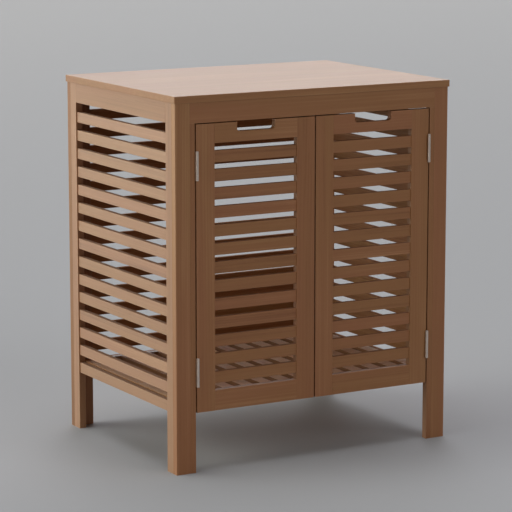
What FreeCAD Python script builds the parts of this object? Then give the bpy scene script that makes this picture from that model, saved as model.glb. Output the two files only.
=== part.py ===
import FreeCAD, Part
import os

# Slatted cabinet: a flat top on four L-shaped legs, slatted sides and back, a slatted bottom
# shelf and two inset slatted doors on butt hinges. Millimetres, +X right, +Y back, +Z up.
# The origin is on the floor, at the middle of the legs' footprint.

# Carcass
width = 600.0                 # over the outer faces of the legs
depth = 454.0                 # over the outer faces of the legs
height = 712.0                # floor to top surface
board = 14.0                  # thickness of leg boards and rails
arris = 0.6                   # rounding on the edges of the boards
top_thickness = 13.2
top_overhang = 2.4            # all round, past the legs
rail_height = 38.4            # top rails of the front and sides
back_rail_height = 40.2
front_post_width = 30.5
hinge_strip_width = 10.5      # strip beside each front post that carries the hinges
back_post_width = 42.0
side_stile_depth = 24.0       # side panels' stiles, behind the posts

# Slats of the sides and back
slat_count = 15
slat_bottom = 115.7           # underside of the lowest slat of a side
slat_top_gap = 18.7           # highest slat to the side's top rail
slat_height = 20.6
slat_thickness = 10.0
slat_recess = 2.0             # slat faces behind the frame's outer face
back_slat_drop = 0.8          # slats of the back, below those of the sides

# Bottom shelf
shelf_top = 137.0
shelf_slat_count = 14
shelf_slat_width = 26.0
shelf_slat_thickness = 12.0
shelf_side_gap = 1.0          # outermost slat to the side panel's stiles
bearer_height = 21.0

# Doors
door_bottom = 115.3
door_gap = 2.7                # beside and between the doors
door_top_gap = 2.1
door_stile_width = 38.8
door_top_rail_height = 36.8
door_bottom_rail_height = 39.2
door_slat_count = 13
door_slat_height = 22.2
door_slat_top_gap = 14.1      # highest slat to the door's top rail
notch_width = 82.0            # finger notch in the top rail
notch_depth = 17.6
notch_radius = 5.5

# Wood joints
joint_clearance = 0.1
rail_tenon_length = 10.0
rail_shoulder = 3.5           # left round a rail's tenon on all four sides
slat_tenon_length = 7.0
slat_shoulder = 2.0
dowel_radius = 3.0
dowel_in_post = 8.0
dowel_in_stile = 13.0
dowel_shares = (0.13, 0.53, 0.87)  # slat gaps with a dowel beside them, of the number of slats

# Hinges
hinge_length = 54.0
hinge_inset = 50.0            # hinge end to the door's top or bottom
barrel_radius = 2.9
barrel_inset = 0.2            # barrel to the hinge strip's edge, across the front
barrel_clearance = 0.25       # barrel to the front of the door and post
knuckle_count = 5
knuckle_gap = 0.2
pin_radius = 1.4
pin_clearance = 0.05
pin_head_radius = 2.3
pin_head_height = 1.0
leaf_gap = 0.3                # between the closed leaves
leaf_width = 11.0
leaf_screw_count = 3

# Magnetic catches
catch_width = 28.0
catch_depth = 12.0
catch_drop = 13.0             # below the front rail
catch_rise = 19.0             # above the front rail's lower edge
catch_inset = 24.0            # catch centre to the door's free edge
catch_gap = 0.3               # magnet to strike plate
catch_screw_spacing = 18.0
catch_screw_rise = 10.0
magnet_width = 16.0
magnet_depth = 6.0
magnet_height = 7.0
magnet_border = 2.0           # plastic below the magnet
strike_thickness = 0.7
strike_width = 24.0
strike_height = 11.0
strike_inset = 1.0            # strike plate to the door's top edge

# Screws
screw_clearance = 0.05
small_screw_radius = 1.2
small_head_radius = 2.3
small_screw_length = 9.0
wood_screw_radius = 1.75
wood_head_radius = 3.4
wood_head_height = 2.0
wood_screw_length = 22.0
drive_slot_width = 0.5        # cross recess in the heads
front_bearer_screw_insets = (8.0, 22.0)  # one into the post, one into the hinge strip
rear_bearer_screw_insets = (6.0, 15.0)
bearer_screw_rise = 4.8
cleat_screw_shares = (-0.32, 0.32)       # along the side rail, of its length
top_screw_shares = (-0.42, 0.0, 0.42)

# A cut runs this far past the face that it opens
overrun = 1.0

# Places worked out from the sizes above
side_x = width / 2
inner_x = side_x - board
front_y = -depth / 2
back_y = depth / 2
panel_front_y = front_y + board
panel_back_y = back_y - board
side_rail_front_y = panel_front_y + side_stile_depth
side_rail_back_y = panel_back_y - side_stile_depth
leg_top = height - top_thickness
rail_bottom = leg_top - rail_height
back_rail_bottom = leg_top - back_rail_height
slat_pitch = (rail_bottom - slat_top_gap - slat_height - slat_bottom) / (slat_count - 1)
front_post_x = side_x - front_post_width
jamb_x = front_post_x - hinge_strip_width
back_post_x = side_x - back_post_width

door_thickness = board - strike_thickness - catch_gap
door_top = rail_bottom - door_top_gap
door_outer_x = jamb_x - door_gap
door_free_x = door_gap / 2
door_stile_outer_x = door_outer_x - door_stile_width
door_stile_free_x = door_free_x + door_stile_width
door_back_y = front_y + door_thickness
door_opening_bottom = door_bottom + door_bottom_rail_height
door_opening_top = door_top - door_top_rail_height
door_centre_x = (door_outer_x + door_free_x) / 2

leaf_thickness = (door_gap - leaf_gap) / 2
axis_x = jamb_x - barrel_inset - barrel_radius
axis_y = front_y - barrel_radius - barrel_clearance
hinge_bottoms = {"upper": door_top - hinge_inset - hinge_length, "lower": door_bottom + hinge_inset}

X_AXIS, Y_AXIS, Z_AXIS = range(3)
RIGHT = FreeCAD.Vector(1, 0, 0)
LEFT = FreeCAD.Vector(-1, 0, 0)
FORWARD = FreeCAD.Vector(0, -1, 0)
BACKWARD = FreeCAD.Vector(0, 1, 0)
UP = FreeCAD.Vector(0, 0, 1)
DOWN = FreeCAD.Vector(0, 0, -1)


def box(low, high):
    """Block between two opposite corners."""
    sizes = [b - a for a, b in zip(low, high)]
    return Part.makeBox(*sizes, FreeCAD.Vector(*low))


def edges_along(shape, axis):
    """Straight edges that run along one axis."""
    found = []
    for edge in shape.Edges:
        bounds = edge.BoundBox
        spans = (bounds.XLength, bounds.YLength, bounds.ZLength)
        if spans.index(max(spans)) == axis:
            found.append(edge)
    return found


def plank(low, high, axis):
    """Board with its grain along one axis and the edges along the grain rounded."""
    block = box(low, high)
    return block.makeFillet(arris, edges_along(block, axis))


def tenon_core(low, high, axis, length, shoulder, clearance=0):
    """Block through a board that comes out of both its ends as tenons."""
    core_low = [value + shoulder - clearance for value in low]
    core_high = [value - shoulder + clearance for value in high]
    core_low[axis] = low[axis] - length - clearance
    core_high[axis] = high[axis] + length + clearance
    return box(core_low, core_high)


def tenoned(low, high, axis, length, shoulder):
    """Board with a tenon on both ends."""
    return plank(low, high, axis).fuse(tenon_core(low, high, axis, length, shoulder))


def mortises(low, high, axis, length, shoulder):
    """Cut for both tenons of such a board."""
    return tenon_core(low, high, axis, length, shoulder, joint_clearance)


def rod(radius, start, direction, length):
    """Round bar from a point along a direction."""
    return Part.makeCylinder(radius, length, FreeCAD.Vector(*start), direction)


def screw_blank(radius, head_radius, head_height, length, extra=0):
    """Countersunk screw along -Z with its head's face at the origin, grown by extra for its hole."""
    head = Part.makeCone(radius + extra, head_radius + extra, head_height,
                         FreeCAD.Vector(0, 0, -head_height))
    shank = rod(radius + extra, (0, 0, -extra), DOWN, length - radius)
    tip = Part.makeCone(0, radius + extra, radius + extra, FreeCAD.Vector(0, 0, -length - extra))
    return head.fuse([shank, tip]).removeSplitter()


def screw(radius, head_radius, head_height, length):
    """Countersunk screw with a cross recess."""
    blank = screw_blank(radius, head_radius, head_height, length)
    half = drive_slot_width / 2
    floor = -head_height / 2
    slots = [box((-radius, -half, floor), (radius, half, overrun)),
             box((-half, -radius, floor), (half, radius, overrun))]
    return blank.cut(slots)


def placed(shape, at, direction):
    """Copy of a shape made along -Z, turned to point along a direction."""
    turned = shape.copy()
    turned.Placement = FreeCAD.Placement(FreeCAD.Vector(*at), FreeCAD.Rotation(DOWN, direction))
    return turned


def screws_at(sizes, places, direction):
    """The same screw at several places, and the cuts for them."""
    pieces = [placed(screw(*sizes), place, direction) for place in places]
    holes = [placed(screw_blank(*sizes, screw_clearance), place, direction) for place in places]
    return pieces, holes


def mirrored(shape):
    """The same piece on the other side of the cabinet."""
    return shape.mirror(FreeCAD.Vector(0, 0, 0), RIGHT)


small_screw = (small_screw_radius, small_head_radius, leaf_thickness, small_screw_length)
strike_screw = (small_screw_radius, small_head_radius, strike_thickness, small_screw_length)
wood_screw = (wood_screw_radius, wood_head_radius, wood_head_height, wood_screw_length)


def slat_rows(bottom, pitch, count, rise):
    """Bottom and top of each slat in a panel."""
    return [(bottom + pitch * i, bottom + pitch * i + rise) for i in range(count)]


side_rows = slat_rows(slat_bottom, slat_pitch, slat_count, slat_height)
back_rows = slat_rows(slat_bottom - back_slat_drop, slat_pitch, slat_count, slat_height)
panel_rows = {"side": side_rows, "back": back_rows}
dowel_gaps = [round(share * slat_count) for share in dowel_shares]
dowel_heights = [(side_rows[i - 1][1] + side_rows[i][0]) / 2 for i in dowel_gaps]


def dowel_bars(at_y, into_post, radius, spare=0):
    """Dowels of the left corner whose joint face is at at_y, pointing into the post first."""
    x = -side_x + board / 2
    bars = []
    for z in dowel_heights:
        start = (x, at_y - into_post.y * (dowel_in_stile + spare), z)
        bars.append(rod(radius, start, into_post, dowel_in_stile + dowel_in_post + spare + spare))
    return bars


def dowel_holes(at_y, into_post):
    return dowel_bars(at_y, into_post, dowel_radius + joint_clearance, joint_clearance)


def slat_box(panel, row):
    """Corners and grain axis of one slat of the left side or the back."""
    bottom, top = row
    if panel == "side":
        outer = -side_x + slat_recess
        return (outer, side_rail_front_y, bottom), (outer + slat_thickness, side_rail_back_y, top), Y_AXIS
    outer = back_y - slat_recess
    return (-back_post_x, outer - slat_thickness, bottom), (back_post_x, outer, top), X_AXIS


def slats(panel):
    return [tenoned(*slat_box(panel, row), slat_tenon_length, slat_shoulder) for row in panel_rows[panel]]


def slat_mortises(panel):
    return [mortises(*slat_box(panel, row), slat_tenon_length, slat_shoulder) for row in panel_rows[panel]]


side_rail = ((-side_x, side_rail_front_y, rail_bottom), (-inner_x, side_rail_back_y, leg_top), Y_AXIS,
             rail_tenon_length, rail_shoulder)
front_rail = ((-front_post_x, front_y, rail_bottom), (front_post_x, panel_front_y, leg_top), X_AXIS,
              rail_tenon_length, rail_shoulder)
back_rail = ((-back_post_x, panel_back_y, back_rail_bottom), (back_post_x, back_y, leg_top), X_AXIS,
             rail_tenon_length, rail_shoulder)


def bearer(near_y, far_y):
    """Corners of a shelf bearer."""
    return (-inner_x, near_y, shelf_top - bearer_height), (inner_x, far_y, shelf_top)


front_bearer_y = panel_front_y + board
rear_bearer_y = panel_back_y - board


def shelf_slat(index):
    """One slat of the shelf, with its tenons' sizes."""
    reach = inner_x - shelf_side_gap
    pitch = (reach + reach - shelf_slat_width) / (shelf_slat_count - 1)
    left = -reach + pitch * index
    low = (left, front_bearer_y, shelf_top - shelf_slat_thickness)
    high = (left + shelf_slat_width, rear_bearer_y, shelf_top)
    return low, high, Y_AXIS, slat_tenon_length, slat_shoulder


def bearer_screw_places(y, insets):
    """Screw heads on the inner face of a bearer, at both its ends."""
    z = shelf_top - bearer_height + bearer_screw_rise
    return [(side * (inner_x - inset), y, z) for side in (-1, 1) for inset in insets]


front_bearer_screws, front_bearer_holes = screws_at(
    wood_screw, bearer_screw_places(front_bearer_y, front_bearer_screw_insets), FORWARD)
rear_bearer_screws, rear_bearer_holes = screws_at(
    wood_screw, bearer_screw_places(rear_bearer_y, rear_bearer_screw_insets), BACKWARD)

cleat_low = (-inner_x, side_rail_front_y, leg_top - board)
cleat_high = (-inner_x + board, side_rail_back_y, leg_top)
cleat_length = side_rail_back_y - side_rail_front_y
cleat_screw_places = [(cleat_high[X_AXIS], share * cleat_length, leg_top - board / 2)
                      for share in cleat_screw_shares]
top_screw_places = [(-inner_x + board / 2, share * cleat_length, cleat_low[Z_AXIS])
                    for share in top_screw_shares]
cleat_screws, cleat_holes = screws_at(wood_screw, cleat_screw_places, LEFT)
top_screws, top_holes = screws_at(wood_screw, top_screw_places, UP)

catch_x = -door_free_x - catch_inset
catch_back_y = panel_front_y + catch_depth
catch_screw_z = rail_bottom + catch_screw_rise
catch_screw_places = [(catch_x + side * catch_screw_spacing / 2, catch_back_y, catch_screw_z)
                      for side in (-1, 1)]
catch_screws, catch_holes = screws_at(wood_screw, catch_screw_places, FORWARD)


def leaf_screw_places(bottom, x):
    """Screw heads down the middle of a hinge leaf."""
    pitch = hinge_length / leaf_screw_count
    return [(x, front_y + leaf_width / 2, bottom + pitch * (i + 1 / 2)) for i in range(leaf_screw_count)]


def leaf_screws(x, direction):
    """Screws of one kind of leaf, in both left hinges, and the cuts for them."""
    places = []
    for bottom in hinge_bottoms.values():
        places += leaf_screw_places(bottom, x)
    return screws_at(small_screw, places, direction)


frame_leaf_screws, frame_leaf_holes = leaf_screws(-jamb_x + leaf_thickness, LEFT)
door_leaf_screws, door_leaf_holes = leaf_screws(-door_outer_x - leaf_thickness, RIGHT)


def knuckle_spans(bottom):
    """Bottom and top of each knuckle of a hinge."""
    rise = (hinge_length - knuckle_gap * (knuckle_count - 1)) / knuckle_count
    return [(bottom + (rise + knuckle_gap) * i, bottom + (rise + knuckle_gap) * i + rise)
            for i in range(knuckle_count)]


def hinge_leaf(bottom, plate_x, own_spans, holes):
    """Leaf of a left hinge: a plate in the door gap, and its own knuckles round the pin."""
    plate = box((plate_x, front_y, bottom),
                (plate_x + leaf_thickness, front_y + leaf_width, bottom + hinge_length))
    pieces = []
    for low, high in own_spans:
        pieces.append(box((plate_x, axis_y, low), (plate_x + leaf_thickness, front_y, high)))
        pieces.append(rod(barrel_radius, (-axis_x, axis_y, low), UP, high - low))
    bore = rod(pin_radius + pin_clearance, (-axis_x, axis_y, bottom - overrun), UP,
               hinge_length + overrun + overrun)
    return plate.fuse(pieces).cut([bore] + holes).removeSplitter()


def frame_leaf(bottom):
    return hinge_leaf(bottom, -jamb_x, knuckle_spans(bottom)[0::2], frame_leaf_holes)


def door_leaf(bottom):
    return hinge_leaf(bottom, -door_outer_x - leaf_thickness, knuckle_spans(bottom)[1::2], door_leaf_holes)


def hinge_pin(bottom):
    """Pin with a round head that rests on the top knuckle."""
    top = bottom + hinge_length
    head = rod(pin_head_radius, (-axis_x, axis_y, top), UP, pin_head_height)
    head = head.makeFillet(pin_head_height / 2, head.Edges[0])
    return rod(pin_radius, (-axis_x, axis_y, bottom), UP, hinge_length).fuse(head)


def door_slat_rows():
    pitch = (door_opening_top - door_slat_top_gap - door_opening_bottom) / door_slat_count
    return slat_rows(door_opening_bottom + pitch - door_slat_height, pitch, door_slat_count, door_slat_height)


def door_slat(row):
    """One slat of the left door, with its tenons' sizes."""
    bottom, top = row
    low = (-door_stile_outer_x, front_y + slat_recess, bottom)
    high = (-door_stile_free_x, front_y + slat_recess + slat_thickness, top)
    return low, high, X_AXIS, slat_tenon_length, slat_shoulder


def door_rail(bottom, top):
    """One rail of the left door, with its tenons' sizes."""
    low = (-door_stile_outer_x, front_y, bottom)
    high = (-door_stile_free_x, door_back_y, top)
    return low, high, X_AXIS, rail_tenon_length, rail_shoulder


def notch():
    """Finger notch: open at the top, with rounded lower corners."""
    half = notch_width / 2
    block = box((-door_centre_x - half, front_y - overrun, door_top - notch_depth),
                (-door_centre_x + half, door_back_y + overrun, door_top + overrun))
    low_edges = [e for e in edges_along(block, Y_AXIS) if e.CenterOfMass.z < door_top - notch_depth / 2]
    return block.makeFillet(notch_radius, low_edges)


strike_centre_z = door_top - strike_inset - strike_height / 2
strike_back_y = door_back_y + strike_thickness
strike_screws, strike_holes = screws_at(strike_screw, [(catch_x, strike_back_y, strike_centre_z)], FORWARD)


def left_door():
    """Nodes of the left door, without its side's name."""
    rows = door_slat_rows()
    top_rail = door_rail(door_opening_top, door_top)
    bottom_rail = door_rail(door_bottom, door_opening_bottom)
    cuts = [mortises(*door_slat(row)) for row in rows]
    cuts += [mortises(*top_rail), mortises(*bottom_rail)]
    hinge_stile = plank((-door_outer_x, front_y, door_bottom),
                        (-door_stile_outer_x, door_back_y, door_top), Z_AXIS)
    meeting_stile = plank((-door_stile_free_x, front_y, door_bottom),
                          (-door_free_x, door_back_y, door_top), Z_AXIS)
    strike = box((catch_x - strike_width / 2, door_back_y, strike_centre_z - strike_height / 2),
                 (catch_x + strike_width / 2, strike_back_y, strike_centre_z + strike_height / 2))
    pieces = {
        "hinge_stile": hinge_stile.cut(cuts + door_leaf_holes),
        "meeting_stile": meeting_stile.cut(cuts + strike_holes),
        "top_rail": tenoned(*top_rail).cut(notch()),
        "bottom_rail": tenoned(*bottom_rail),
        "slats": Part.makeCompound([tenoned(*door_slat(row)) for row in rows]),
        "strike_plate": strike.cut(strike_holes),
        "screws": Part.makeCompound(door_leaf_screws + strike_screws),
    }
    for name, bottom in hinge_bottoms.items():
        pieces[name + "_hinge_leaf"] = door_leaf(bottom)
    return pieces


def left_side():
    """Nodes of the left side panel, front post and hinge strip, without their side's name."""
    cuts = slat_mortises("side") + [mortises(*side_rail)]
    front_stile = plank((-side_x, panel_front_y, 0), (-inner_x, side_rail_front_y, leg_top), Z_AXIS)
    rear_stile = plank((-side_x, side_rail_back_y, 0), (-inner_x, panel_back_y, leg_top), Z_AXIS)
    front_post = plank((-side_x, front_y, 0), (-front_post_x, panel_front_y, leg_top), Z_AXIS)
    strip = plank((-front_post_x, front_y, 0), (-jamb_x, panel_front_y, rail_bottom), Z_AXIS)
    back_post = plank((-side_x, panel_back_y, 0), (-back_post_x, back_y, leg_top), Z_AXIS)
    front_dowels = dowel_holes(panel_front_y, FORWARD)
    rear_dowels = dowel_holes(panel_back_y, BACKWARD)
    return {
        "front_post": front_post.cut([mortises(*front_rail)] + front_dowels + front_bearer_holes),
        "hinge_strip": strip.cut(frame_leaf_holes + front_bearer_holes),
        "front_stile": front_stile.cut(cuts + front_dowels),
        "rear_stile": rear_stile.cut(cuts + rear_dowels),
        "back_post": back_post.cut(slat_mortises("back") + [mortises(*back_rail)] + rear_dowels
                                   + rear_bearer_holes),
        "side_rail": tenoned(*side_rail).cut(cleat_holes),
        "side_slats": Part.makeCompound(slats("side")),
        "top_cleat": plank(cleat_low, cleat_high, Y_AXIS).cut(cleat_holes + top_holes),
    }


def left_hinges():
    """Frame leaves and pins of the left hinges, without their side's name."""
    pieces = {}
    for name, bottom in hinge_bottoms.items():
        pieces[name + "_hinge_frame_leaf"] = frame_leaf(bottom)
        pieces[name + "_hinge_pin"] = hinge_pin(bottom)
    return pieces


def left_catch():
    """Magnetic catch behind the front rail, without its side's name."""
    body = box((catch_x - catch_width / 2, panel_front_y, rail_bottom - catch_drop),
               (catch_x + catch_width / 2, catch_back_y, rail_bottom + catch_rise))
    magnet_bottom = rail_bottom - catch_drop + magnet_border
    magnet = box((catch_x - magnet_width / 2, panel_front_y, magnet_bottom),
                 (catch_x + magnet_width / 2, panel_front_y + magnet_depth, magnet_bottom + magnet_height))
    return {"catch": body.cut([magnet] + catch_holes), "catch_magnet": magnet}


def both_sides(pieces):
    """Left pieces and their mirror images, named for their side."""
    nodes = {}
    for name, shape in pieces.items():
        nodes["left_" + name] = shape
        nodes["right_" + name] = mirrored(shape)
    return nodes


def pair(shapes):
    """One group of the left pieces and their mirror images."""
    return Part.makeCompound(shapes + [mirrored(shape) for shape in shapes])


def top_panel():
    slab = box((-side_x - top_overhang, front_y - top_overhang, leg_top),
               (side_x + top_overhang, back_y + top_overhang, height))
    slab = slab.makeFillet(arris, slab.Edges)
    return slab.cut(top_holes + [mirrored(hole) for hole in top_holes])


def shelf():
    """Slats on two bearers."""
    boards = [shelf_slat(i) for i in range(shelf_slat_count)]
    cuts = [mortises(*board_sizes) for board_sizes in boards]
    front = plank(*bearer(panel_front_y, front_bearer_y), X_AXIS)
    rear = plank(*bearer(rear_bearer_y, panel_back_y), X_AXIS)
    return {
        "shelf_slats": Part.makeCompound([tenoned(*board_sizes) for board_sizes in boards]),
        "shelf_front_bearer": front.cut(cuts + front_bearer_holes),
        "shelf_rear_bearer": rear.cut(cuts + rear_bearer_holes),
    }


dowels = dowel_bars(panel_front_y, FORWARD, dowel_radius) + dowel_bars(panel_back_y, BACKWARD, dowel_radius)

nodes = both_sides(left_side())
nodes.update(both_sides(left_hinges()))
nodes.update(both_sides(left_catch()))
nodes.update(both_sides({"door_" + name: shape for name, shape in left_door().items()}))
nodes.update(shelf())
nodes["top_panel"] = top_panel()
nodes["front_top_rail"] = tenoned(*front_rail).cut(catch_holes + [mirrored(hole) for hole in catch_holes])
nodes["back_top_rail"] = tenoned(*back_rail)
nodes["back_slats"] = Part.makeCompound(slats("back"))
nodes["corner_dowels"] = pair(dowels)
nodes["top_cleat_screws"] = pair(cleat_screws + top_screws)
nodes["shelf_bearer_screws"] = Part.makeCompound(front_bearer_screws + rear_bearer_screws)
nodes["catch_screws"] = pair(catch_screws)
nodes["hinge_frame_screws"] = pair(frame_leaf_screws)

os.makedirs("parts", exist_ok=True)
for name, shape in nodes.items():
    shape.exportStep(os.path.join("parts", name + ".step"))
print(len(nodes), "nodes,", sum(len(shape.Solids) for shape in nodes.values()), "solids, all valid:",
      all(shape.isValid() for shape in nodes.values()))
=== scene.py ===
import math

import bpy
import numpy as np
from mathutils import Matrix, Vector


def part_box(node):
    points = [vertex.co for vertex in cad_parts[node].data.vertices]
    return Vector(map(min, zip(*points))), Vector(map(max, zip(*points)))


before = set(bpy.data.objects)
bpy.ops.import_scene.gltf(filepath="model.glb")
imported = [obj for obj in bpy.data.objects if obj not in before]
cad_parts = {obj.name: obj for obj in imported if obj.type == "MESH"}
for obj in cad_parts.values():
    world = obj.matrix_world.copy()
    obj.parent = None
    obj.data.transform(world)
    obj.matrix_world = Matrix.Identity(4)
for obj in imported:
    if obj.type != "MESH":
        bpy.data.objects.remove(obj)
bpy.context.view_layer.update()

# Slatted wooden cabinet with two hinged doors, dressed in oiled wood and satin steel.
# Metres, +X right, +Y back, +Z up, origin on the floor under the middle of the cabinet.

# Camera, placed where the photograph was taken from
CAMERA_PLACE = (-2.3644, -4.1192, 1.2019)
CAMERA_YAW = math.radians(29.863)      # to the right of straight back
CAMERA_PITCH = math.radians(10.099)    # below level
CAMERA_REACH = 200.0
SENSOR_WIDTH = 36.0
FOCAL_IN_FRAMES = 2429.4 / 512         # focal length over the picture's width
LEVEL = math.pi / 2                    # turn that brings a camera or lamp from straight down to level

# Oiled wood, as linear colours from dark to light
WOOD_TONES = ((0.207, 0.077, 0.026, 1.0), (0.344, 0.147, 0.057, 1.0), (0.455, 0.224, 0.099, 1.0))
# Shelf tones about twice as pale as the other boards': painted light on the shelf in the cabinet's shade
SHELF_PAINTED_LIGHT_TONES = ((0.500, 0.222, 0.084, 1.0), (0.670, 0.328, 0.138, 1.0), (0.770, 0.405, 0.182, 1.0))
DOWEL_TONES = ((0.480, 0.310, 0.165, 1.0), (0.620, 0.430, 0.250, 1.0), (0.700, 0.520, 0.330, 1.0))
# Casts that the tones drift between
RUDDY_CAST = (1.02, 0.970, 1.01, 1.0)
STRAW_CAST = (0.985, 1.028, 0.955, 1.0)
# Eased edges are paler, partly as wear and partly as a painted highlight along the arrises
EASED_EDGE_WEAR_AND_HIGHLIGHT = (0.480, 0.260, 0.125, 1.0)
EASED_WIDTH = 0.0016
EDGE_WEAR_AND_HIGHLIGHT_STRENGTH = 0.18
# Sawn faces, which are turned to the next slat of a stack, are rougher, and painted darker and browner as
# shade from that slat
SAWN_FACE_PAINTED_SHADE = (0.260, 0.105, 0.040, 1.0)
SAWN_AND_SHADE_DEPTH = 0.0006
SAWN_SHADE_STRENGTH = 0.8
SAWN_ROUGHNESS = 0.5                   # added to that of the planed faces

# Figure of the wood: changes per metre along the grain and across it, both ways
BEND_FINENESS = (1.6, 9.0, 9.0)
FIBRE_FINENESS = (7.0, 520.0, 520.0)
BAND_FINENESS = (1.3, 70.0, 70.0)
CLOUD_FINENESS = (3.0, 14.0, 14.0)
STREAK_FINENESS = (1.1, 210.0, 210.0)
PORE_FINENESS = (55.0, 1500.0, 1500.0)
CAST_FINENESS = (1.7, 19.0, 19.0)
# Growth rings: spacing, how far they bend, and how far a board lies from the pith, with its spread
RING_SPACING = 0.0046
RING_BEND = 0.022
PITH_OFFSET = (0.0, 0.05, 0.06)
PITH_SPREAD = (0.0, 0.10, 0.05)
# What each part of the figure adds to the tone, which runs from 0 for dark to 1 for light
PLAIN_TONE = 0.465
RING_TONE = 0.07
FIBRE_TONE = 0.30
STREAK_TONE = 0.42
BAND_TONE = 0.62
CLOUD_TONE = 0.50
PORE_TONE = -0.16
# How much boards differ in tone and in cast, and how far the figure moves from one to the next
BOARD_TONE = 0.20
BOARD_CAST = 0.30
BOARD_SHIFT = 9.0
# Noise between which pores deepen, and between which one cast turns into the other
PORE_RANGE = (0.66, 0.74)
CAST_RANGE = (0.25, 0.75)
# What fibres and pores add to the roughness and to the height
FIBRE_ROUGHNESS = -0.16
PORE_ROUGHNESS = 0.10
FIBRE_HEIGHT = 0.5
PORE_HEIGHT = -0.6
BUMP_STRENGTH = 0.25
BUMP_DISTANCE = 0.0002
# Middle of noise, chance and tones, which run from 0 to 1
MIDDLE = 0.5
# Numbers of the boards, by which each has a figure of its own
FIRST_NUMBER = 1.0
NUMBER_STEP = 7.0
# Axes in the order along the grain, then across it
GRAIN_ORDER = {"x": (0, 1, 2), "y": (1, 0, 2), "z": (2, 0, 1)}

# Finish of a board: its tones, what it adds to them, which for some boards is painted light and for one
# painted shade, and how dull, hazy and glossy it is
PLAIN_FINISH = {"tones": WOOD_TONES, "shade": 0.0, "dullness": 0.50, "sheen": 0.0, "gloss": 0.4}
# Boards that are paler or darker, hazier, glossier or duller than the rest; several of the paler and darker
# shades are painted light and shade
OWN_FINISH_AND_PAINTED_LIGHT = {
    "top_panel": {"sheen": 0.22},
    "left_front_post": {"shade": 0.16},
    # Painted shade: the back post is darker for the shade in the cabinet's back corner
    "left_back_post": {"shade": -0.12},
    "left_front_stile": {"sheen": 0.6, "gloss": 0.58},
    # Paler tone, partly the stile's own and partly painted light on the lit left side
    "left_rear_stile": {"shade": 0.20, "sheen": 0.6, "gloss": 0.58},
    "left_side_rail": {"sheen": 0.5, "gloss": 0.58},
    "left_side_slats": {"gloss": 0.95},
    "right_back_post": {"gloss": 0.1},
    "right_front_stile": {"gloss": 0.1},
    "right_rear_stile": {"gloss": 0.1},
    "right_side_rail": {"gloss": 0.1},
    # Painted light: the right side slats are paler for light inside the cabinet, seen through the gaps
    "right_side_slats": {"shade": 0.18, "gloss": 0.1},
    "back_top_rail": {"gloss": 0.1},
    # Painted light: the back slats are paler for light inside the cabinet, seen through the gaps
    "back_slats": {"shade": 0.08, "dullness": 0.70, "gloss": 0.1},
    "shelf_slats": {"tones": SHELF_PAINTED_LIGHT_TONES, "dullness": 0.64, "sheen": 0.1},
    "corner_dowels": {"tones": DOWEL_TONES},
}
SHEEN_ROUGHNESS = 0.4
SHEEN_TINT = (1.0, 0.97, 0.91, 1.0)

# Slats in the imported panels: how many, the axis they are stacked along, and the size of one along it
SIDE_STACK = (15, "z", 0.0206)
DOOR_STACK = (13, "z", 0.0222)
SHELF_STACK = (14, "x", 0.026)

# Steel, catch plastic and magnet: linear colours, and scratches per metre along each axis
STEEL_DARK = (0.600, 0.505, 0.440, 1.0)
STEEL_LIGHT = (0.800, 0.695, 0.610, 1.0)
STEEL_FINENESS = (2600.0, 2600.0, 140.0)
CATCH_DARK = (0.030, 0.017, 0.010, 1.0)
CATCH_LIGHT = (0.062, 0.036, 0.022, 1.0)
CATCH_FINENESS = (900.0, 900.0, 900.0)
MAGNET_DARK = (0.016, 0.016, 0.018, 1.0)
MAGNET_LIGHT = (0.050, 0.050, 0.054, 1.0)
MAGNET_FINENESS = (700.0, 700.0, 700.0)
# Noise between which scratches turn from dark to light, and the roughness without and from them
SCRATCH_RANGE = (0.3, 0.7)
SATIN_ROUGHNESS = 0.24
SCRATCH_ROUGHNESS = 0.22

# Floor, whose colour gets paler from near to far between two distances back, a painted falloff of light
FLOOR_REACH = 40.0
FLOOR_POINTS = 3                       # along each side
FLOOR_NEAR = (0.402, 0.408, 0.429, 1.0)
FLOOR_FAR = (0.499, 0.500, 0.513, 1.0)
FLOOR_RANGE = (-2.0, 12.0)
FLOOR_ROUGHNESS = 0.9
FLOOR_GLOSS = 0.1
# Even light all round
WORLD_COLOUR = (1.0, 0.97, 0.93, 1.0)
WORLD_STRENGTH = 0.08
# Soft lights: where each comes from, across and back, its height and spread in degrees, its strength
# and colour, and whether it shows only in the gloss
SOFT_LIGHTS = {
    "left_back": (-0.45, 0.89, 6.0, 46.0, 3.10, (1.0, 0.91, 0.72), True),
    "left": (-0.95, 0.35, 7.0, 70.0, 3.09, (0.99, 1.025, 0.94), False),
    "right_back": (0.5, 0.87, 20.0, 30.0, 0.54, (0.98, 1.0, 1.06), False),
    "high_back": (0.5, 0.87, 45.0, 40.0, 0.36, (1.0, 1.0, 1.0), False),
    "overhead": (0.0, 0.1, 86.0, 40.0, 1.18, (1.0, 0.99, 1.0), False),
    "front": (0.35, -1.0, 24.0, 50.0, 0.55, (1.0, 0.97, 0.95), False),
}

# Sockets of a Mix node that mixes colours
MIX_FACTOR = 0
MIX_FIRST = 6
MIX_SECOND = 7
MIX_RESULT = 2


def fill(tree, node, inputs):
    """Links each input that is given a socket, and sets each that is given a value."""
    for key, value in inputs.items():
        socket = node.inputs[key]
        if isinstance(value, bpy.types.NodeSocket):
            tree.links.new(value, socket)
        else:
            socket.default_value = value


def add(tree, kind, inputs=None, **settings):
    """New shader node with its settings and inputs."""
    node = tree.nodes.new(kind)
    for name, value in settings.items():
        setattr(node, name, value)
    fill(tree, node, inputs or {})
    return node


def calc(tree, operation, *values):
    """Result of a Math node."""
    return add(tree, "ShaderNodeMath", dict(enumerate(values)), operation=operation).outputs[0]


def vector_calc(tree, operation, *values):
    """Result of a Vector Math node that gives a vector."""
    return add(tree, "ShaderNodeVectorMath", dict(enumerate(values)), operation=operation).outputs[0]


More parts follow.
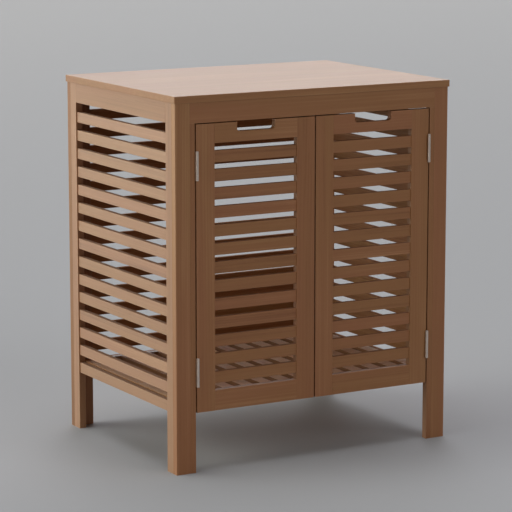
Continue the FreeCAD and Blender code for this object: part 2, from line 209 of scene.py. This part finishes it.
def half(tree, vector):
    """Half of a vector."""
    return add(tree, "ShaderNodeVectorMath", {0: vector, "Scale": 0.5}, operation="SCALE").outputs[0]


def parts(tree, vector):
    """The three numbers of a vector."""
    return add(tree, "ShaderNodeSeparateXYZ", {0: vector}).outputs


def gather(tree, operation, vector):
    """One number from the three of a vector, such as the least of them."""
    first, second, third = parts(tree, vector)
    return calc(tree, operation, calc(tree, operation, first, second), third)


def blend(tree, factor, first, second, mode="MIX"):
    """Result of a colour mix."""
    node = add(tree, "ShaderNodeMix", data_type="RGBA", blend_type=mode)
    fill(tree, node, {MIX_FACTOR: factor, MIX_FIRST: first, MIX_SECOND: second})
    return node.outputs[MIX_RESULT]


def stretch(tree, value, low, high):
    """A value spread so that low becomes 0 and high becomes 1, clamped and smooth."""
    node = add(tree, "ShaderNodeMapRange", {"Value": value, "From Min": low, "From Max": high},
               interpolation_type="SMOOTHSTEP")
    return node.outputs["Result"]


def noise(tree, place, fineness, detail=2.0, roughness=0.5):
    """Noise over a place, with its own fineness per metre along each axis."""
    scaled = vector_calc(tree, "MULTIPLY", place, fineness)
    node = add(tree, "ShaderNodeTexNoise",
               {"Vector": scaled, "Scale": 1.0, "Detail": detail, "Roughness": roughness})
    return node.outputs["Fac"]


def new_group(name, inputs, outputs):
    """Shader node group with named sockets: its tree, what comes in, and the node for its results."""
    tree = bpy.data.node_groups.new(name, "ShaderNodeTree")
    for socket_name, kind in inputs:
        tree.interface.new_socket(socket_name, in_out="INPUT", socket_type="NodeSocket" + kind)
    for socket_name, kind in outputs:
        tree.interface.new_socket(socket_name, in_out="OUTPUT", socket_type="NodeSocket" + kind)
    entry = tree.nodes.new("NodeGroupInput").outputs
    result = tree.nodes.new("NodeGroupOutput")
    return tree, entry, result


def board_place_group():
    """Which board of a stack a point is on, where on that board, and how near an edge.

    The place is folded by the stack's pitch on each axis, and an axis without a pitch stays whole.
    An edge is where the second nearest pair of faces is close; it is painted paler, as wear and as a
    highlight.
    A sawn face is one that the stack's axis goes through; it is rougher and painted darker, as shade
    between slats.
    """
    tree, entry, result = new_group(
        "board_place",
        [("Place", "Vector"), ("Low", "Vector"), ("Size", "Vector"), ("Pitch", "Vector"),
         ("Stack", "Vector"), ("Edge Width", "Float")],
        [("On Board", "Vector"), ("Board", "Vector"), ("Edge", "Float"), ("Sawn Face And Shade", "Float")])
    from_low = vector_calc(tree, "SUBTRACT", entry["Place"], entry["Low"])
    half_gap = half(tree, vector_calc(tree, "SUBTRACT", entry["Pitch"], entry["Size"]))
    steps = vector_calc(tree, "DIVIDE", vector_calc(tree, "ADD", from_low, half_gap), entry["Pitch"])
    board = vector_calc(tree, "FLOOR", steps)
    folded = vector_calc(tree, "SUBTRACT", from_low, vector_calc(tree, "MULTIPLY", board, entry["Pitch"]))

    opposite = vector_calc(tree, "SUBTRACT", entry["Size"], folded)
    nearest = vector_calc(tree, "MINIMUM", folded, opposite)
    least = gather(tree, "MINIMUM", nearest)
    most = gather(tree, "MAXIMUM", nearest)
    total = gather(tree, "ADD", nearest)
    second = calc(tree, "SUBTRACT", calc(tree, "SUBTRACT", total, least), most)

    half_size = half(tree, entry["Size"])
    from_middle = vector_calc(tree, "SUBTRACT", nearest, half_size)
    on_stack_axis = vector_calc(tree, "MULTIPLY_ADD", entry["Stack"], from_middle, half_size)
    depth = gather(tree, "MINIMUM", on_stack_axis)
    fill(tree, result, {
        "On Board": vector_calc(tree, "SUBTRACT", folded, half_size),
        "Board": board,
        "Edge": stretch(tree, second, entry["Edge Width"], 0.0),
        "Sawn Face And Shade": stretch(tree, depth, SAWN_AND_SHADE_DEPTH, 0.0),
    })
    return tree


def solid_wood_group():
    """Wood as a solid: the first axis runs along the grain, the others across it.

    Rings are circles round a pith off the middle of the board, bent by slow noise along the grain.
    Fibres, pores, streaks, bands and cloudy patches are noise drawn out along the grain, and each
    board has its own tone.
    """
    tree, entry, result = new_group(
        "solid_wood",
        [("Place", "Vector"), ("Board", "Vector"), ("Dark", "Color"), ("Middle", "Color"),
         ("Light", "Color"), ("Ring Spacing", "Float"), ("Dullness", "Float"), ("Shade", "Float")],
        [("Color", "Color"), ("Roughness", "Float"), ("Height", "Float")])
    chance = add(tree, "ShaderNodeTexWhiteNoise", {"Vector": entry["Board"]}, noise_dimensions="3D")
    own = vector_calc(tree, "SUBTRACT", chance.outputs["Color"], (MIDDLE,) * 3)
    own_tone, own_cast, _ = parts(tree, own)
    shift = vector_calc(tree, "MULTIPLY", own, (BOARD_SHIFT,) * 3)
    place = vector_calc(tree, "ADD", entry["Place"], shift)

    bend = noise(tree, place, BEND_FINENESS, detail=1.0)
    pith = vector_calc(tree, "MULTIPLY_ADD", own, PITH_SPREAD, PITH_OFFSET)
    from_pith = vector_calc(tree, "ADD", entry["Place"], pith)
    across = vector_calc(tree, "MULTIPLY", from_pith, (0.0, 1.0, 1.0))
    radius = add(tree, "ShaderNodeVectorMath", {0: across}, operation="LENGTH").outputs["Value"]
    bent = calc(tree, "MULTIPLY_ADD", bend, RING_BEND, radius)
    turns = calc(tree, "DIVIDE", bent, entry["Ring Spacing"])
    wave = calc(tree, "SINE", calc(tree, "MULTIPLY", turns, math.tau))
    ring = calc(tree, "MULTIPLY_ADD", wave, MIDDLE, MIDDLE)

    fibres = noise(tree, place, FIBRE_FINENESS, detail=3.0, roughness=0.6)
    bands = noise(tree, place, BAND_FINENESS)
    cloud = noise(tree, place, CLOUD_FINENESS)
    streaks = noise(tree, place, STREAK_FINENESS, roughness=0.6)
    pores = stretch(tree, noise(tree, place, PORE_FINENESS, detail=1.0), *PORE_RANGE)
    drift = noise(tree, place, CAST_FINENESS)

    tone = calc(tree, "MULTIPLY_ADD", ring, RING_TONE, PLAIN_TONE)
    for value, strength in ((fibres, FIBRE_TONE), (streaks, STREAK_TONE), (bands, BAND_TONE),
                            (cloud, CLOUD_TONE)):
        around_middle = calc(tree, "SUBTRACT", value, MIDDLE)
        tone = calc(tree, "ADD", tone, calc(tree, "MULTIPLY", around_middle, strength))
    tone = calc(tree, "MULTIPLY_ADD", own_tone, BOARD_TONE, tone)
    # The board's shade, which is painted light on some boards and painted shade on one
    tone = calc(tree, "ADD", tone, entry["Shade"])
    tone = calc(tree, "MULTIPLY_ADD", pores, PORE_TONE, tone)

    below = blend(tree, stretch(tree, tone, 0.0, MIDDLE), entry["Dark"], entry["Middle"])
    colour = blend(tree, stretch(tree, tone, MIDDLE, 1.0), below, entry["Light"])
    straw = stretch(tree, calc(tree, "MULTIPLY_ADD", own_cast, BOARD_CAST, drift), *CAST_RANGE)
    cast = blend(tree, straw, RUDDY_CAST, STRAW_CAST)
    around_middle = calc(tree, "SUBTRACT", fibres, MIDDLE)
    roughness = calc(tree, "MULTIPLY_ADD", around_middle, FIBRE_ROUGHNESS, entry["Dullness"])
    height = calc(tree, "MULTIPLY_ADD", fibres, FIBRE_HEIGHT, ring)
    fill(tree, result, {
        "Color": blend(tree, 1.0, colour, cast, "MULTIPLY"),
        "Roughness": calc(tree, "MULTIPLY_ADD", pores, PORE_ROUGHNESS, roughness),
        "Height": calc(tree, "MULTIPLY_ADD", pores, PORE_HEIGHT, height),
    })
    return tree


def brushed_group():
    """Fine scratches: noise with its own fineness along each axis, as a mask and a roughness."""
    tree, entry, result = new_group(
        "brushed", [("Place", "Vector"), ("Fineness", "Vector")],
        [("Mask", "Float"), ("Roughness", "Float")])
    scratches = noise(tree, entry["Place"], entry["Fineness"], detail=3.0)
    fill(tree, result, {
        "Mask": stretch(tree, scratches, *SCRATCH_RANGE),
        "Roughness": calc(tree, "MULTIPLY_ADD", scratches, SCRATCH_ROUGHNESS, SATIN_ROUGHNESS),
    })
    return tree


BOARD_PLACE = board_place_group()
SOLID_WOOD = solid_wood_group()
BRUSHED = brushed_group()


def new_material(name):
    """Empty material: its tree, its Principled shader and Object coordinates."""
    material = bpy.data.materials.new(name)
    material.use_nodes = True
    tree = material.node_tree
    shader = tree.nodes["Principled BSDF"]
    place = add(tree, "ShaderNodeTexCoord").outputs["Object"]
    return material, tree, shader, place


def wood_material(node, low, size, pitch, grain):
    """Oiled wood for one board or one stack of boards, with its grain along an axis."""
    finish = {**PLAIN_FINISH, **OWN_FINISH_AND_PAINTED_LIGHT.get(node, {})}
    dark, middle, light = finish["tones"]
    material, tree, shader, place = new_material(node + "_wood")
    spot = add(tree, "ShaderNodeGroup", node_tree=BOARD_PLACE, inputs={
        "Place": place,
        "Low": low,
        "Size": size,
        "Pitch": pitch,
        "Stack": tuple(float(step > 0) for step in pitch),
        "Edge Width": EASED_WIDTH,
    }).outputs
    on_board = parts(tree, spot["On Board"])
    ordered = {i: on_board[axis] for i, axis in enumerate(GRAIN_ORDER[grain])}
    along = add(tree, "ShaderNodeCombineXYZ", ordered).outputs[0]
    number = FIRST_NUMBER + NUMBER_STEP * sorted(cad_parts).index(node)
    wood = add(tree, "ShaderNodeGroup", node_tree=SOLID_WOOD, inputs={
        "Place": along,
        "Board": vector_calc(tree, "ADD", spot["Board"], (number, 0.0, 0.0)),
        "Dark": dark,
        "Middle": middle,
        "Light": light,
        "Ring Spacing": RING_SPACING,
        "Dullness": finish["dullness"],
        "Shade": finish["shade"],
    }).outputs
    # Paler eased edges: wear, and a painted highlight along every arris
    edge_wear_and_highlight = calc(tree, "MULTIPLY", spot["Edge"], EDGE_WEAR_AND_HIGHLIGHT_STRENGTH)
    planed_colour = blend(tree, edge_wear_and_highlight, wood["Color"], EASED_EDGE_WEAR_AND_HIGHLIGHT)
    # Sawn faces painted darker and browner: painted shade where the next slat shelters them
    sawn_shade = calc(tree, "MULTIPLY", spot["Sawn Face And Shade"], SAWN_SHADE_STRENGTH)
    bump = add(tree, "ShaderNodeBump",
               {"Height": wood["Height"], "Strength": BUMP_STRENGTH, "Distance": BUMP_DISTANCE})
    fill(tree, shader, {
        "Base Color": blend(tree, sawn_shade, planed_colour, SAWN_FACE_PAINTED_SHADE),
        "Roughness": calc(tree, "MULTIPLY_ADD", spot["Sawn Face And Shade"], SAWN_ROUGHNESS, wood["Roughness"]),
        "Normal": bump.outputs["Normal"],
        "Specular IOR Level": finish["gloss"],
        "Sheen Weight": finish["sheen"],
        "Sheen Roughness": SHEEN_ROUGHNESS,
        "Sheen Tint": SHEEN_TINT,
    })
    return material


def dress(node, material):
    """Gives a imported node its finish."""
    node_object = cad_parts[node]
    node_object.data.materials.clear()
    node_object.data.materials.append(material)


def dress_board(node, grain, stack=None):
    """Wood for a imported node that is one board, or a stack of boards."""
    low, high = (np.array(corner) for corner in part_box(node))
    size = high - low
    pitch = np.zeros(3)
    if stack:
        count, axis_name, board_size = stack
        axis = "xyz".index(axis_name)
        pitch[axis] = (size[axis] - board_size) / (count - 1)
        size[axis] = board_size
    dress(node, wood_material(node, tuple(low), tuple(size), tuple(pitch), grain))


def dress_wood():
    """Grain along every board, as it is sawn."""
    for node in ("top_panel", "front_top_rail", "back_top_rail", "shelf_front_bearer", "shelf_rear_bearer"):
        dress_board(node, "x")
    dress_board("back_slats", "x", SIDE_STACK)
    dress_board("shelf_slats", "y", SHELF_STACK)
    dress_board("corner_dowels", "y")
    for side in ("left_", "right_"):
        for node in ("front_post", "hinge_strip", "back_post", "door_hinge_stile", "door_meeting_stile",
                     "front_stile", "rear_stile"):
            dress_board(side + node, "z")
        for node in ("door_top_rail", "door_bottom_rail"):
            dress_board(side + node, "x")
        for node in ("top_cleat", "side_rail"):
            dress_board(side + node, "y")
        dress_board(side + "side_slats", "y", SIDE_STACK)
        dress_board(side + "door_slats", "x", DOOR_STACK)


def scratched_material(name, dark, light, fineness, metallic):
    """Two close shades mixed by fine scratches."""
    material, tree, shader, place = new_material(name)
    scratches = add(tree, "ShaderNodeGroup", node_tree=BRUSHED,
                    inputs={"Place": place, "Fineness": fineness}).outputs
    fill(tree, shader, {
        "Base Color": blend(tree, scratches["Mask"], dark, light),
        "Roughness": scratches["Roughness"],
        "Metallic": metallic,
    })
    return material


def dress_fittings():
    """Satin steel hinges, pins, plates and screws, and dark catches."""
    steel = scratched_material("satin_steel", STEEL_DARK, STEEL_LIGHT, STEEL_FINENESS, 1.0)
    plastic = scratched_material("catch_plastic", CATCH_DARK, CATCH_LIGHT, CATCH_FINENESS, 0.0)
    ceramic = scratched_material("catch_magnet", MAGNET_DARK, MAGNET_LIGHT, MAGNET_FINENESS, 0.0)
    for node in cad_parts:
        if node.endswith("_catch"):
            dress(node, plastic)
        elif node.endswith("_magnet"):
            dress(node, ceramic)
        elif node.endswith(("_leaf", "_pin", "_screws", "_strike_plate")):
            dress(node, steel)


def floor():
    """Flat floor: a square grid of points at floor height."""
    steps = np.linspace(-FLOOR_REACH, FLOOR_REACH, FLOOR_POINTS)
    across, back = np.meshgrid(steps, steps, indexing="ij")
    points = np.stack([across, back, np.zeros_like(across)], axis=-1).reshape(-1, 3)
    number = np.arange(FLOOR_POINTS ** 2).reshape(FLOOR_POINTS, FLOOR_POINTS)
    corners = (number[:-1, :-1], number[1:, :-1], number[1:, 1:], number[:-1, 1:])
    faces = np.stack([corner.ravel() for corner in corners], axis=1)
    mesh = bpy.data.meshes.new("floor")
    mesh.from_pydata(points.tolist(), [], faces.tolist())
    plane = bpy.data.objects.new("floor", mesh)
    bpy.context.scene.collection.objects.link(plane)
    material, tree, shader, place = new_material("floor_paint_with_painted_falloff")
    # Painted light: the floor is paler towards the back
    _, distance_back, _ = parts(tree, place)
    far = stretch(tree, distance_back, *FLOOR_RANGE)
    fill(tree, shader, {
        "Base Color": blend(tree, far, FLOOR_NEAR, FLOOR_FAR),
        "Roughness": FLOOR_ROUGHNESS,
        "Specular IOR Level": FLOOR_GLOSS,
    })
    mesh.materials.append(material)


def soft_light(name, across, back, rise, spread, strength, colour, only_gloss):
    """Wide distant light from a direction."""
    lamp = bpy.data.lights.new(name, "SUN")
    lamp.energy = strength
    lamp.color = colour
    lamp.angle = math.radians(spread)
    item = bpy.data.objects.new(name, lamp)
    item.rotation_euler = (LEVEL - math.radians(rise), 0.0, math.atan2(across, -back))
    item.visible_diffuse = not only_gloss
    bpy.context.scene.collection.objects.link(item)


def studio():
    """Even light all round, and the soft lights."""
    world = bpy.data.worlds.new("studio")
    bpy.context.scene.world = world
    world.use_nodes = True
    fill(world.node_tree, world.node_tree.nodes["Background"],
         {"Color": WORLD_COLOUR, "Strength": WORLD_STRENGTH})
    for name, settings in SOFT_LIGHTS.items():
        soft_light(name, *settings)


def camera():
    """Camera of the photograph."""
    lens = bpy.data.cameras.new("camera")
    lens.sensor_width = SENSOR_WIDTH
    lens.lens = SENSOR_WIDTH * FOCAL_IN_FRAMES
    lens.clip_end = CAMERA_REACH
    item = bpy.data.objects.new("camera", lens)
    item.location = CAMERA_PLACE
    item.rotation_euler = (LEVEL - CAMERA_PITCH, 0.0, -CAMERA_YAW)
    bpy.context.scene.collection.objects.link(item)
    bpy.context.scene.camera = item


dress_wood()
dress_fittings()
floor()
studio()
camera()
bpy.context.scene.view_settings.view_transform = "Standard"
